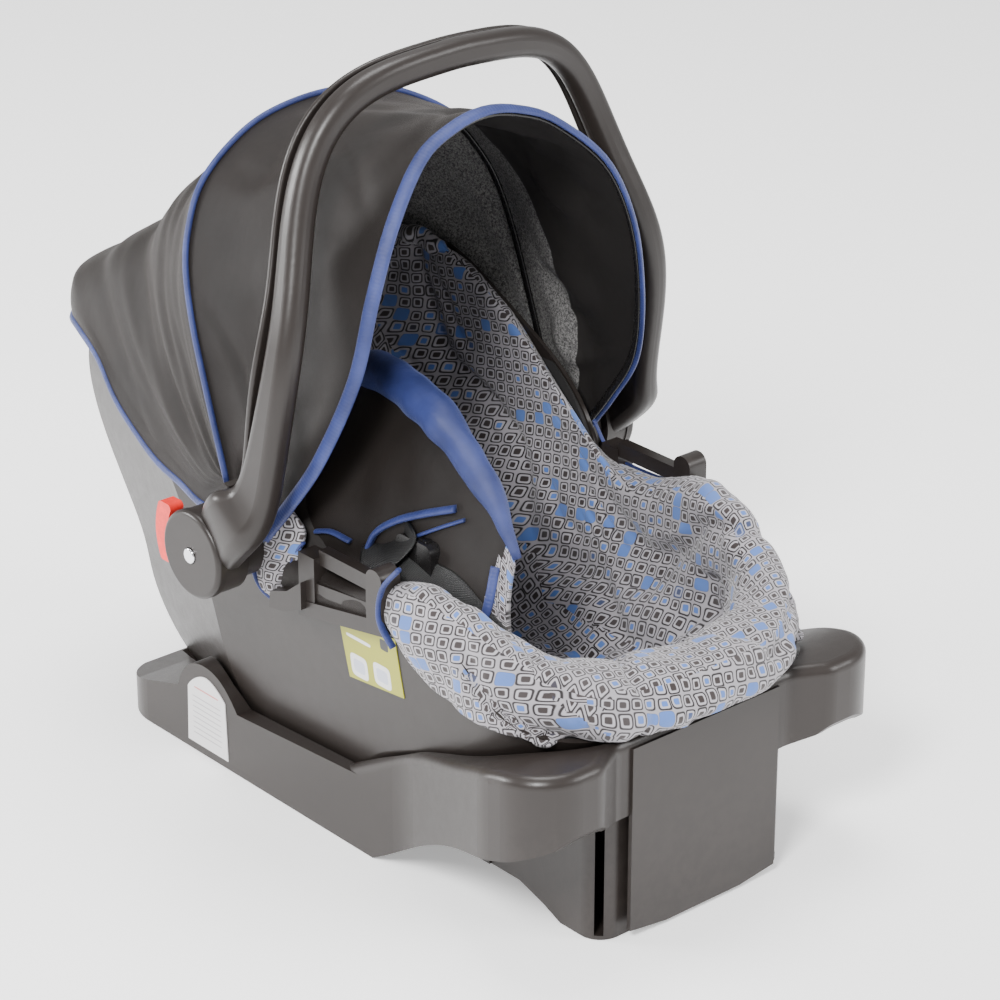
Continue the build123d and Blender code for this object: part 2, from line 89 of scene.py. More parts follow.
def studio():
    """Four soft lamps, a white sky and a pale floor."""
    area_light("key", (-2.6, -1.6, 2.9), (0, 0, 0.3), 1.1, 230)
    area_light("fill", (1.9, -2.8, 1.9), (0, -0.1, 0.3), 1.6, 80)
    area_light("rim", (-2.2, 2.4, 1.3), (0, 0.1, 0.3), 1.1, 120)
    area_light("top", (0.4, 0.6, 3.4), (0, 0, 0.3), 1.8, 90)
    world = bpy.data.worlds.new("studio")
    bpy.context.scene.world = world
    world.use_nodes = True
    world.node_tree.nodes["Background"].inputs["Color"].default_value = (1, 1, 1, 1)
    world.node_tree.nodes["Background"].inputs["Strength"].default_value = 0.75
    half = FLOOR_HALF
    floor = mesh_object("floor", [(-half, -half, 0), (half, -half, 0), (half, half, 0), (-half, half, 0)],
                        [(0, 1, 2, 3)])
    floor.location.z = -FLOOR_DROP
    white = Material("floor_white", (0.95, 0.95, 0.95), 0.7, Emission_Strength=0.42)
    white.shader.inputs["Emission Color"].default_value = (1, 1, 1, 1)
    floor.data.materials.append(white.done())


# ---- mesh helpers -------------------------------------------------------------------------------
def mesh_object(name, verts, faces):
    mesh = bpy.data.meshes.new(name)
    mesh.from_pydata([tuple(v) for v in verts], [], faces)
    obj = bpy.data.objects.new(name, mesh)
    bpy.context.collection.objects.link(obj)
    return obj


def smooth(obj, levels=0):
    obj.data.polygons.foreach_set("use_smooth", [True] * len(obj.data.polygons))
    if levels:
        sub = obj.modifiers.new("subdivision", "SUBSURF")
        sub.levels = sub.render_levels = levels
    return obj


def solidify(obj, thick, offset=-1.0, inner_slot=0):
    mod = obj.modifiers.new("thickness", "SOLIDIFY")
    mod.thickness, mod.offset, mod.material_offset = thick, offset, inner_slot
    mod.material_offset_rim = 0
    return obj


def curve_points(points, count):
    """count points, evenly spaced, on a smooth curve through points."""
    p = np.array(points, float)
    p = np.vstack([2 * p[0] - p[1], p, 2 * p[-1] - p[-2]])
    out = []
    for i in range(1, len(p) - 2):
        for t in np.linspace(0, 1, 24, endpoint=False):
            a, b, c, d = p[i - 1], p[i], p[i + 1], p[i + 2]
            out.append(0.5 * (2 * b + (c - a) * t + (2 * a - 5 * b + 4 * c - d) * t * t
                              + (3 * b - a - 3 * c + d) * t ** 3))
    out.append(p[-2])
    out = np.array(out)
    along = np.concatenate([[0], np.cumsum(np.linalg.norm(np.diff(out, axis=0), axis=1))])
    even = np.linspace(0, along[-1], count)
    return np.stack([np.interp(even, along, out[:, k]) for k in range(out.shape[1])], axis=1)


def grid_object(name, rows, closed=False):
    """A sheet through rows of points, with a UV map in metres. closed joins each row's ends."""
    rows = np.array(rows, float)
    n, m = rows.shape[:2]
    wrap = m if closed else m - 1
    faces = [(i * m + j, i * m + (j + 1) % m, (i + 1) * m + (j + 1) % m, (i + 1) * m + j)
             for i in range(n - 1) for j in range(wrap)]
    obj = mesh_object(name, rows.reshape(-1, 3), faces)
    across = np.linalg.norm(np.diff(rows, axis=1), axis=2).mean(axis=0)
    down = np.linalg.norm(np.diff(rows, axis=0), axis=2).mean(axis=1)
    u = np.concatenate([[0], np.cumsum(across), [across.sum() * (1 + 1 / m)]])
    v = np.concatenate([[0], np.cumsum(down)])
    layer = obj.data.uv_layers.new(name="cloth")
    k = 0
    for i in range(n - 1):
        for j in range(wrap):
            for di, dj in ((0, 0), (0, 1), (1, 1), (1, 0)):
                layer.data[k].uv = (u[j + dj], v[i + di])
                k += 1
    return obj


def tube_object(name, path, radius, flat=1.0, up=None, sides=14):
    """A capped tube along path. radius may vary; flat squashes it along up, one vector or one a point."""
    path = np.array(path, float)
    n = len(path)
    radii = np.broadcast_to(np.array(radius, float), (n,))
    tangent = np.gradient(path, axis=0)
    tangent /= np.linalg.norm(tangent, axis=1)[:, None]
    ups = None if up is None else np.broadcast_to(np.array(up, float), (n, 3))
    side = np.cross(tangent[0], (0, 0, 1))
    rows = []
    for i in range(n):
        if ups is not None:
            side = np.cross(tangent[i], ups[i])
        side = side - tangent[i] * side.dot(tangent[i])
        side /= np.linalg.norm(side) + 1e-12
        normal = np.cross(side, tangent[i])
        rows.append([path[i] + radii[i] * (cos(a) * side + flat * sin(a) * normal)
                     for a in np.linspace(0, 2 * pi, sides, endpoint=False)])
    obj = grid_object(name, rows, closed=True)
    bm = bmesh.new()
    bm.from_mesh(obj.data)
    bm.verts.ensure_lookup_table()
    for start in (0, (n - 1) * sides):
        ring = [bm.verts[start + k] for k in range(sides)]
        bm.faces.new(ring if start else ring[::-1])
    bmesh.ops.recalc_face_normals(bm, faces=bm.faces)
    bm.to_mesh(obj.data)
    bm.free()
    return smooth(obj)


# ---- materials ----------------------------------------------------------------------------------
class Material:
    """A node material built step by step around one Principled shader."""

    def __init__(self, name, color, rough, **sockets):
        self.mat = bpy.data.materials.new(name)
        self.mat.use_nodes = True
        self.tree = self.mat.node_tree
        self.shader = self.tree.nodes["Principled BSDF"]
        self.shader.inputs["Base Color"].default_value = (*color, 1)
        self.shader.inputs["Roughness"].default_value = rough
        for key, value in sockets.items():
            self.shader.inputs[key.replace("_", " ")].default_value = value
        self.bumps = None

    def node(self, kind, **settings):
        made = self.tree.nodes.new(kind)
        for key, value in settings.items():
            if key in made.inputs:
                made.inputs[key].default_value = value
            else:
                setattr(made, key, value)
        return made

    def link(self, a, b):
        self.tree.links.new(a, b)

    def math(self, operation, a, b=None):
        made = self.node("ShaderNodeMath", operation=operation)
        for socket, value in zip(made.inputs, (a, b)):
            if value is None:
                continue
            if isinstance(value, (int, float)):
                socket.default_value = value
            else:
                self.link(value, socket)
        return made.outputs[0]

    def place(self, source="object"):
        if source == "object":
            return self.node("ShaderNodeTexCoord").outputs["Object"]
        return self.node("ShaderNodeUVMap", uv_map="cloth").outputs["UV"]

    def mix(self, factor, a, b):
        made = self.node("ShaderNodeMix", data_type="RGBA")
        for socket, value in ((made.inputs[0], factor), (made.inputs[6], a), (made.inputs[7], b)):
            if isinstance(value, (int, float)):
                socket.default_value = value
            elif isinstance(value, tuple):
                socket.default_value = (*value[:3], 1)
            else:
                self.link(value, socket)
        return made.outputs[2]

    def noise(self, scale, detail=4.0, rough=0.55, source="object"):
        made = self.node("ShaderNodeTexNoise", Scale=scale, Detail=detail, Roughness=rough)
        self.link(self.place(source), made.inputs["Vector"])
        return made.outputs["Fac"]

    def ramp(self, value, low, high, out_low, out_high):
        made = self.node("ShaderNodeMapRange", clamp=True)
        for socket, number in zip(made.inputs[1:5], (low, high, out_low, out_high)):
            socket.default_value = number
        self.link(value, made.inputs[0])
        return made.outputs[0]

    def bump(self, height, distance, strength=1.0):
        made = self.node("ShaderNodeBump", Distance=distance, Strength=strength)
        self.link(height, made.inputs["Height"])
        if self.bumps:
            self.link(self.bumps, made.inputs["Normal"])
        self.bumps = made.outputs["Normal"]
        self.link(self.bumps, self.shader.inputs["Normal"])

    def weave(self, threads, distance):
        """Crossed threads, threads to the metre, as a height and a bump."""
        place = self.node("ShaderNodeSeparateXYZ")
        self.link(self.place("uv"), place.inputs[0])
        turn = 2 * pi * threads / 2
        warp = self.math("SINE", self.math("MULTIPLY", place.outputs[0], turn))
        weft = self.math("SINE", self.math("MULTIPLY", place.outputs[1], turn))
        height = self.math("MULTIPLY", warp, weft)
        self.bump(height, distance)
        return height

    def done(self):
        return self.mat


def plastic(name, color, rough=0.42, grain=0.00006):
    """Satin moulded plastic: fine grain, faint clouding, scuffs and paler worn edges."""
    m = Material(name, color, rough, Specular_IOR_Level=0.36)
    cloud = m.noise(6.0, 3)
    scuff = m.noise(90.0, 6, 0.7)
    pale = tuple(min(1, c * 1.28 + 0.004) for c in color)
    dark = tuple(c * 0.86 for c in color)
    tint = m.mix(m.ramp(cloud, 0.3, 0.7, 0.35, 0.65), dark, pale)
    edge = m.node("ShaderNodeNewGeometry").outputs["Pointiness"]
    worn = m.math("MULTIPLY", m.ramp(edge, 0.54, 0.62, 0, 0.4), m.ramp(scuff, 0.42, 0.6, 0.2, 1))
    m.link(m.mix(worn, tint, tuple(c * 1.8 + 0.008 for c in color)), m.shader.inputs["Base Color"])
    m.link(m.ramp(scuff, 0.3, 0.75, rough - 0.03, rough + 0.05), m.shader.inputs["Roughness"])
    m.bump(m.noise(1400.0, 2), grain)
    return m.done()


def nylon(name, color):
    """Woven nylon with soft random creasing and a dull sheen."""
    m = Material(name, color, 0.5, Sheen_Weight=0.04, Sheen_Roughness=0.5, Specular_IOR_Level=0.22)
    m.shader.inputs["Sheen Tint"].default_value = (0.6, 0.5, 0.45, 1)
    height = m.weave(2600, 0.00005)
    cloud = m.noise(11.0, 5)
    pale = tuple(c * 1.55 + 0.002 for c in color)
    tint = m.mix(m.ramp(cloud, 0.3, 0.7, 0, 1), tuple(c * 0.8 for c in color), pale)
    fleck = m.ramp(height, -0.2, 0.9, 0, 0.35)
    m.link(m.mix(fleck, tint, tuple(c * 2.2 + 0.004 for c in color)), m.shader.inputs["Base Color"])
    m.bump(m.noise(26.0, 3, 0.5), 0.0016, 0.6)
    m.bump(m.noise(120.0, 2, 0.5), 0.0003, 0.5)
    return m.done()


def satin(name, color, stitched=False):
    """Blue satin: fine weave, sheen and faint puckers, with stitches across it when stitched."""
    m = Material(name, color, 0.45, Sheen_Weight=0.12, Sheen_Roughness=0.35, Specular_IOR_Level=0.35)
    m.shader.inputs["Sheen Tint"].default_value = (0.5, 0.6, 1.0, 1)
    m.weave(2200, 0.00004)
    cloud = m.noise(30.0, 4)
    tint = m.mix(m.ramp(cloud, 0.3, 0.7, 0, 1), tuple(c * 0.72 for c in color),
                 tuple(c * 1.25 + 0.006 for c in color))
    m.link(tint, m.shader.inputs["Base Color"])
    m.bump(m.noise(150.0, 2, 0.5), 0.0005, 0.7)
    if stitched:
        place = m.node("ShaderNodeSeparateXYZ")
        m.link(m.place("uv"), place.inputs[0])
        step = m.math("SINE", m.math("MULTIPLY", place.outputs[1], 2 * pi / 0.0030))
        m.bump(step, 0.00008, 0.6)
    return m.done()


def marl(m):
    """Pale and dark fibres at random: the fibres' height and the colour."""
    fibre = m.noise(520.0, 3, 0.7)
    speck = m.noise(1500.0, 2, 0.6)
    mixed = m.math("ADD", m.math("MULTIPLY", fibre, 0.6), m.math("MULTIPLY", speck, 0.4))
    return fibre, m.mix(m.ramp(mixed, 0.42, 0.58, 0, 1), MARL_DARK, MARL_PALE)


def heather(name):
    """Grey marl lining."""
    m = Material(name, (0.2, 0.2, 0.2), 0.9, Sheen_Weight=0.3)
    fibre, grey = marl(m)
    m.link(grey, m.shader.inputs["Base Color"])
    m.bump(fibre, 0.0003)
    return m.done()


def lining(name):
    """Black cloth with a painted sheen: its far lower part, by its own UVs, is painted in the grey marl
    colour.
    """
    m = Material(name, BLACK, 0.7)
    grey = marl(m)[1]
    place = m.node("ShaderNodeSeparateXYZ")
    m.link(m.place("uv"), place.inputs[0])
    # painted sheen: past a line that slopes across the UVs, the black is painted over with the grey marl
    # colour
    slope = m.math("MULTIPLY", m.math("SUBTRACT", place.outputs[0], 0.50), 0.36)
    into_painted_sheen = m.math("SUBTRACT", place.outputs[1], m.math("SUBTRACT", 0.170, slope))
    m.link(m.mix(m.ramp(into_painted_sheen, -0.0006, 0.0006, 0, 1), BLACK, grey), m.shader.inputs["Base Color"])
    m.bump(m.noise(30.0, 3), 0.0015, 0.5)
    return m.done()


def print_cloth(name):
    """Printed pad cloth: rounded squares in rings, no two alike, some with blue centres."""
    m = Material(name, (0.5, 0.5, 0.52), 0.85, Sheen_Weight=0.25, Specular_IOR_Level=0.2)
    pitch = 0.0108
    turn = m.node("ShaderNodeMapping")
    turn.inputs["Rotation"].default_value = (0, 0, radians(9))
    turn.inputs["Scale"].default_value = (1 / pitch, 1 / pitch, 1)
    wobble = m.node("ShaderNodeTexNoise", Scale=55.0, Detail=1.0)
    m.link(m.place("uv"), wobble.inputs["Vector"])
    drift = m.node("ShaderNodeVectorMath", operation="MULTIPLY_ADD")
    m.link(wobble.outputs["Color"], drift.inputs[0])
    drift.inputs[1].default_value = (0.0022, 0.0022, 0)
    m.link(m.place("uv"), drift.inputs[2])
    m.link(drift.outputs[0], turn.inputs["Vector"])
    cell = m.node("ShaderNodeVectorMath", operation="FLOOR")
    m.link(turn.outputs[0], cell.inputs[0])
    part = m.node("ShaderNodeVectorMath", operation="FRACTION")
    m.link(turn.outputs[0], part.inputs[0])
    chance = m.node("ShaderNodeTexWhiteNoise", noise_dimensions="2D")
    m.link(cell.outputs[0], chance.inputs["Vector"])
    roll = m.node("ShaderNodeSeparateColor")
    m.link(chance.outputs["Color"], roll.inputs[0])
    place = m.node("ShaderNodeSeparateXYZ")
    m.link(part.outputs[0], place.inputs[0])
    size = m.ramp(roll.outputs[2], 0, 1, 0.88, 1.08)
    edges = []
    for axis, shift in ((0, roll.outputs[0]), (1, roll.outputs[1])):
        centre = m.ramp(shift, 0, 1, 0.45, 0.55)
        away = m.math("ABSOLUTE", m.math("SUBTRACT", place.outputs[axis], centre))
        edges.append(m.math("POWER", m.math("DIVIDE", away, size), 5.0))
    radius = m.math("POWER", m.math("ADD", edges[0], edges[1]), 1 / 5.0)

    def band(low, high):
        soft = 0.022
        return m.math("MULTIPLY", m.ramp(radius, low - soft, low + soft, 0, 1),
                      m.ramp(radius, high - soft, high + soft, 1, 0))

    ground, light = (0.30, 0.285, 0.305), (0.36, 0.345, 0.37)
    ink, blue = (0.009, 0.0065, 0.0065), (0.075, 0.155, 0.42)
    centre_dark = m.mix(m.ramp(roll.outputs[0], 0.86, 0.87, 0, 1), (0.028, 0.021, 0.020), blue)
    centre_all = m.mix(m.ramp(roll.outputs[1], 0.90, 0.92, 0, 1), centre_dark, blue)
    tint = m.mix(band(0.338, 0.448), ground, ink)
    tint = m.mix(band(-1, 0.338), tint, light)
    tint = m.mix(band(-1, 0.212), tint, centre_all)
    whole = m.math("MULTIPLY", m.ramp(roll.outputs[2], 0.93, 0.935, 0, 1), band(-1, 0.44))
    tint = m.mix(whole, tint, blue)
    fade = m.noise(14.0, 4)
    tint = m.mix(m.ramp(fade, 0.35, 0.7, 0, 0.16), tint, (0.20, 0.19, 0.20))
    m.link(tint, m.shader.inputs["Base Color"])
    m.weave(1900, 0.00006)
    m.bump(m.noise(45.0, 3, 0.5), 0.0012, 0.5)
    m.bump(m.noise(170.0, 2, 0.5), 0.0003, 0.5)
    return m.done()


def webbing_cloth(name):
    """Black harness webbing: ribs along its length."""
    m = Material(name, (0.004, 0.004, 0.004), 0.38)
    m.weave(1100, 0.00025)
    tint = m.mix(m.ramp(m.noise(60.0), 0.3, 0.7, 0, 1), (0.0025, 0.0025, 0.0026), (0.006, 0.0058, 0.0056))
    m.link(tint, m.shader.inputs["Base Color"])
    return m.done()


def metal(name, color, rough):
    m = Material(name, color, rough, Metallic=1.0)
    m.link(m.ramp(m.noise(140.0, 5), 0.3, 0.7, rough * 0.7, rough * 1.4), m.shader.inputs["Roughness"])
    m.bump(m.noise(500.0), 0.00003)
    return m.done()


SHADES = {}


def shades():
    """Make each material once."""
    SHADES["shell"] = plastic("shell_plastic", PLASTIC, 0.36)
    SHADES["base"] = plastic("base_plastic", tuple(c * 1.05 for c in PLASTIC), 0.34)
    SHADES["trim"] = plastic("trim_plastic", TRIM, 0.36, 0.00003)
    SHADES["gear"] = plastic("gear_plastic", (0.16, 0.16, 0.16), 0.5)
    SHADES["red"] = plastic("red_plastic", (0.62, 0.022, 0.016), 0.3, 0.00002)
    SHADES["black"] = nylon("black_fabric", BLACK)
    SHADES["blue"] = satin("blue_satin", BLUE)
    SHADES["binding"] = satin("blue_binding", tuple(c * 1.1 for c in BLUE), stitched=True)
    SHADES["heather"] = heather("grey_heather")
    SHADES["lining"] = lining("canopy_lining_painted_sheen")
    SHADES["buckle"] = plastic("black_plastic", (0.0045, 0.004, 0.004), 0.26, 0.00002)
    SHADES["print"] = print_cloth("pad_print")
    SHADES["webbing"] = webbing_cloth("webbing")
    SHADES["chrome"] = metal("chrome", (0.82, 0.82, 0.84), 0.12)
    SHADES["steel"] = metal("zinc_steel", (0.55, 0.55, 0.57), 0.32)
    SHADES["foam"] = Material("foam", (0.012, 0.011, 0.011), 0.9).done()


def paint(obj, *names):
    obj.data.materials.clear()
    for name in names:
        obj.data.materials.append(SHADES[name])
    return obj


# ---- CAD nodes that stay ------------------------------------------------------------------------
NODE_SHADES = {
    "shell": ("carrier_shell",),
    "base": ("base_tray", "recline_foot", "foot_racks"),
    "trim": ("handle_main", "handle_rear_strip", "hub_cap_left", "hub_cap_right", "belt_guide_left",
             "belt_guide_right", "release_lever"),
    "buckle": ("harness_buckle", "buckle_button"),
    "red": ("handle_button_left", "handle_button_right"),
    "gear": ("lock_gear_left", "lock_gear_right"),
    "chrome": ("pivot_bolt_left", "pivot_bolt_right"),
    "steel": ("button_spring_left", "button_spring_right", "buckle_spring", "latch_rod",
              "latch_hook", "release_link", "splitter_plate", "harness_adjuster"),
    "foam": ("energy_foam",),
}
ROUNDED = {"base_tray": 4.5, "carrier_shell": 1.6, "belt_guide_left": 3.0, "belt_guide_right": 3.0,
           "recline_foot": 1.5, "harness_buckle": 2.0, "release_lever": 2.0}


def plastics():
    """Paint the CAD nodes that stay, and round the edges that are rounded on the real mouldings."""
    for shade, nodes in NODE_SHADES.items():
        for node in nodes:
            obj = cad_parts[node]
            for index in range(max(1, len(obj.material_slots))):
                if not obj.material_slots:
                    obj.data.materials.append(SHADES[shade])
                obj.material_slots[index].material = SHADES[shade]
    for node, radius in ROUNDED.items():
        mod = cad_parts[node].modifiers.new("rounded_edges", "BEVEL")
        mod.width, mod.segments, mod.limit_method = radius * MM, 3, "ANGLE"
        mod.angle_limit, mod.harden_normals = radians(32), True


# ---- canopy -------------------------------------------------------------------------------------
ARCH_COUNT = 97


def mirrored(half):
    """A curve from the left foot over the top to the right foot, from its right half."""
    left = [(-x, y, z) for x, y, z in half]
    return left + [(x, y, z) for x, y, z in reversed(half[:-1])]


def turned(x, radius, back):
    """The point at x, radius from the hub axis, back radians behind straight up."""
    return np.array((x, HUB.y + radius * sin(back), HUB.z + radius * cos(back)))


HEM_HALF = [(p[0] * MM, p[1] * MM, p[2] * MM) for p in (
    (174, -8, 258), (171, -39, 296), (166, -72, 344), (149, -95, 412), (134, -100, 476),
    (109, -95, 530), (69, -80, 568), (34, -76, 584), (0, -75, 590))]
SEAM_HALF = ((172, 46), (171, 115), (169, 174), (163, 219), (151, 250), (131, 279), (96, 303),
             (55, 319), (0, 325))
SEAM_BACK = radians(19.5)


def canopy_curves():
    """The front hem and the seam over the middle bow."""
    hem = curve_points(mirrored(HEM_HALF), ARCH_COUNT)
    seam = curve_points(mirrored([tuple(turned(x * MM, r * MM, SEAM_BACK)) for x, r in SEAM_HALF]),
                        ARCH_COUNT)
    return hem, seam


RIDGE_HALF = [(x * MM, y * MM, z * MM) for x, y, z in (   # where the cloth turns over the head end
    (172, 40, 288), (168, 80, 268), (162, 128, 275), (158, 172, 293), (155, 204, 311), (149, 240, 333),
    (143, 274, 355), (136, 298, 367), (122, 320, 374), (96, 335, 377), (60, 341, 378), (0, 344, 378))]
TAIL_HALF = [(x * MM, y * MM, z * MM) for x, y, z in (    # the rear hem, on the shell
    (174, 32, 262), (170, 78, 254), (164, 118, 259), (161, 154, 265), (158, 190, 281), (155, 220, 299),
    (150, 250, 325), (141, 290, 338), (126, 320, 336), (98, 342, 333), (60, 347, 331), (0, 348, 330))]


def ripple(p, scale, seed):
    """Smooth noise at p, the same on every run."""
    return noise.noise(Vector(p) * scale + Vector((seed, seed * 1.7, 0)))


def front_folds(p, arc, t):
    """How far the front panel's folds and creases stand out at p, arc round it and t back from the hem."""
    folds = 0.011 * ripple((arc * 8.0, t * 1.3 + 1.5 * arc, 0.2), 1, 3.1)
    folds += 0.006 * ripple((arc * 21.0 + 2 * t, t * 2.2, 0.7), 1, 9.1)
    folds += 0.002 * ripple(p, 34, 7.7)
    return folds - 0.006 * max(0.0, 1 - 6 * abs(ripple((arc * 11.0 - t, t * 1.6, 0.4), 1, 5.5)))


def canopy_front(hem, seam):
    """The front panel, between the hem's bow and the middle bow, slack and creased."""
    rows = []
    steps = 30
    for k in range(steps + 1):
        t = k / steps
        row = []
        for j in range(ARCH_COUNT):
            p = hem[j] * (1 - t) + seam[j] * t
            out = p - np.array((0, HUB.y, HUB.z))
            out[0] *= 0.9
            out /= np.linalg.norm(out)
            height = 4 * t * (1 - t)
            arc = j / (ARCH_COUNT - 1)
            sag = -0.005 * sin(pi * arc)
            row.append(p + out * height * (sag + front_folds(p, arc, t)))
        rows.append(row)
    panel = grid_object("canopy_front_cloth", rows)
    smooth(panel, 1)
    paint(panel, "black", "lining")
    solidify(panel, CLOTH_THICK, inner_slot=1)
    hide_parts("canopy_front_panel")
    return panel


def clear_of_shell(rows, gap):
    """Move each point sideways out of the carrier shell."""
    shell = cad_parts["carrier_shell"]
    into = shell.matrix_world.inverted()
    for row in rows:
        for p in row:
            side = -1 if p[0] < 0 else 1
            start = into @ Vector((side * 0.3, p[1], p[2]))
            hit, place, _, _ = shell.ray_cast(start, (into.to_3x3() @ Vector((-side, 0, 0))).normalized())
            if hit:
                skin = abs((shell.matrix_world @ place).x)
                if skin > 0.09 and abs(p[0]) < skin + gap:
                    p[0] = side * (skin + gap)
    return rows


def canopy_rear(seam):
    """The rear panel: from the middle bow to the ridge, then down over the shell's rim."""
    ridge = curve_points(mirrored(RIDGE_HALF), ARCH_COUNT)
    tail = curve_points(mirrored(TAIL_HALF), ARCH_COUNT)
    axis = np.array((0, HUB.y, HUB.z))
    rows, steps, over = [], 36, 10
    for k in range(steps + over + 1):
        row = []
        for j in range(ARCH_COUNT):
            arc = sin(pi * j / (ARCH_COUNT - 1))
            if k <= steps:
                t = k / steps
                p = seam[j] * (1 - t) + ridge[j] * t
                out = (p - axis) / np.linalg.norm(p - axis)
                calm = min(1, 6 * t) * min(1, 0.25 + 3 * (1 - t))
                slack = -0.015 * arc ** 1.5 * sin(pi * t ** 1.25)
                around = j / (ARCH_COUNT - 1) * 3.2
                folds = 0.008 * ripple((around, t * 6.0 + 0.6 * around, 0.3), 1, 12.3)
                folds += 0.004 * ripple((around * 2.4, t * 15.0 + 2.2 * around, 0.1), 1, 4.4)
                p = p + out * (slack + folds * calm * min(1, 3 * arc))
            else:
                t = (k - steps) / over
                p = ridge[j] * (1 - t) + tail[j] * t
                away = np.array((p[0], p[1] - 0.05, 0.0))
                away /= np.linalg.norm(away)
                p = p + away * 0.003 * sin(pi * t) * arc
            row.append(p)
        rows.append(row)
    rows = clear_of_shell(np.array(rows), 0.0025)
    panel = grid_object("canopy_rear_cloth", rows)
    smooth(panel, 1)
    paint(panel, "black", "heather")
    solidify(panel, CLOTH_THICK, inner_slot=1)
    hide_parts("canopy_rear_panel")
    return panel, np.array(rows[-1])


def outward(path):
    """Unit vectors from the hub axis's middle to each point of path."""
    axis = np.array((0, HUB.y, HUB.z))
    return np.array([(p - axis) / np.linalg.norm(p - axis) for p in path])


def canopy():
    """Both panels, the bindings on their edges and the bows in their hems."""
    hem, seam = canopy_curves()
    front = canopy_front(hem, seam)
    rear, rear_hem = canopy_rear(seam)
    trim = paint(tube_object("canopy_hem_binding", hem, 0.0058, 0.42, outward(hem)), "binding")
    piping = paint(tube_object("canopy_seam_piping", seam + outward(seam) * 0.0014, 0.0026), "binding")
    tail = paint(tube_object("canopy_rear_binding", rear_hem, 0.0036, 0.7, outward(rear_hem)), "binding")
    for node, path, body in (("canopy_mid_bow", seam, "mid_bow"), ("canopy_front_bow", hem, "front_bow")):
        bow = paint(tube_object(node + "_in_hem", path - outward(path) * 0.0042, 0.0036, 0.55,
                                outward(path)), "buckle")
        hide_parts(node)
        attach(bow, body)
    for piece, body in ((trim, "front_bow"), (piping, "mid_bow"), (tail, "carrier")):
        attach(piece, body)
    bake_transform(front)
    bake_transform(rear)


# ---- pad ----------------------------------------------------------------------------------------
# Height, half width, foot-end y, head-end y of the child's space; the floor is the first.
BOWL = np.array(((114, 66, -172, -58), (129, 92, -212, -14), (165, 118, -258, 42),
                 (205, 129, -284, 92), (260, 136, -296, 160), (330, 134, -300, 246),
                 (415, 122, -302, 322))) * MM
# y and height of the pad's rim.
PAD_TOP = np.array(((-345, 204), (-318, 208), (-285, 222), (-249, 242), (-214, 262), (-180, 270),
                    (-158, 262), (-128, 246), (-90, 243), (-58, 256), (-21, 289), (20, 322),
                    (50, 350), (110, 384), (150, 398), (200, 388), (285, 350), (345, 338))) * MM
# y and height of the lower edge of the flap that hangs outside the shell.
FLAP_LOW = np.array(((-360, 179), (-300, 180), (-274, 182), (-251, 184), (-222, 186), (-192, 193),
                     (-174, 205), (-159, 223), (-148, 240))) * MM
OUTER_HALF, OUTER_FRONT, OUTER_REAR = 0.1695, -0.3465, 0.338
AROUND, FLOOR_STEPS, WALL_STEPS, RIM_STEPS, FLAP_STEPS = 240, 14, 44, 10, 14
SQUARE = 3.3    # the power of the superellipse that the bowl and the rim follow


def bowl_point(z, angle):
    """The bowl's inner wall at height z, angle round from +X."""
    half, front, rear = (np.interp(z, BOWL[:, 0], BOWL[:, k]) for k in (1, 2, 3))
    c, s = cos(angle), sin(angle)
    power = 2 / SQUARE
    x = half * np.sign(c) * abs(c) ** power
    y = (front + rear) / 2 + (rear - front) / 2 * np.sign(s) * abs(s) ** power
    return np.array((x, y, z))


def outer_point(z, angle):
    """The pad's outside over the shell at height z."""
    half = OUTER_HALF - 0.022 * max(0.0, (z - 0.25) / 0.15) - 0.05 * max(0.0, 0.235 - z) * 1.6
    c, s = cos(angle), sin(angle)
    power = 2 / SQUARE
    x = half * np.sign(c) * abs(c) ** power
    y = (OUTER_FRONT + OUTER_REAR) / 2 + (OUTER_REAR - OUTER_FRONT) / 2 * np.sign(s) * abs(s) ** power
    return np.array((x, y, z))


PUCKERS = (  # x, y of two ends of a sewn or pressed crease, depth, half width; mm
    (-10, -252, 62, -262, 11, 8), (36, -190, 30, -268, 9, 7), (-40, -228, -62, -290, 8, 7),
    (70, -286, 92, -228, 8, 7), (-80, -150, 80, -128, 13, 10), (0, -196, 40, -176, 8, 8),
    (100, -238, 128, -196, 8, 7), (-12, -268, 10, -306, 7, 6), (60, -268, 92, -312, 7, 6),
    (96, -150, 60, -224, 8, 8), (-20, -224, 20, -216, 9, 7), (30, -292, 36, -322, 6, 6))


def pucker_depth(p):
    """How deep the creases of PUCKERS press the seat at p."""
    total = 0.0
    for x0, y0, x1, y1, depth, width in PUCKERS:
        a, b = np.array((x0, y0)) * MM, np.array((x1, y1)) * MM
        q, line = p[:2] - a, b - a
        t = min(1.0, max(0.0, q.dot(line) / line.dot(line)))
        gap = np.linalg.norm(q - t * line)
        total += depth * MM * np.exp(-(gap / (width * MM)) ** 2) * sin(pi * (0.15 + 0.7 * t))
    return total


def under_canopy(point):
    """The point's x, drawn in at the head end so that the pad stays inside the canopy."""
    widest = np.interp(point[1], (0.06, 0.12, 0.34), (OUTER_HALF, 0.132, 0.100))
    return np.clip(point[0], -widest, widest)


def above_shell_floor(point, gap):
    """The point's height, lifted to clear the shell's seat and the foam by gap."""
    height = point[2]
    for node in ("carrier_shell", "energy_foam"):
        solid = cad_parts[node]
        into = solid.matrix_world.inverted()
        down = (into.to_3x3() @ Vector((0, 0, -1))).normalized()
        hit, place, _, _ = solid.ray_cast(into @ Vector((point[0], point[1], point[2] + 0.06)), down)
        if hit:
            height = max(height, (solid.matrix_world @ place).z + gap)
    return height


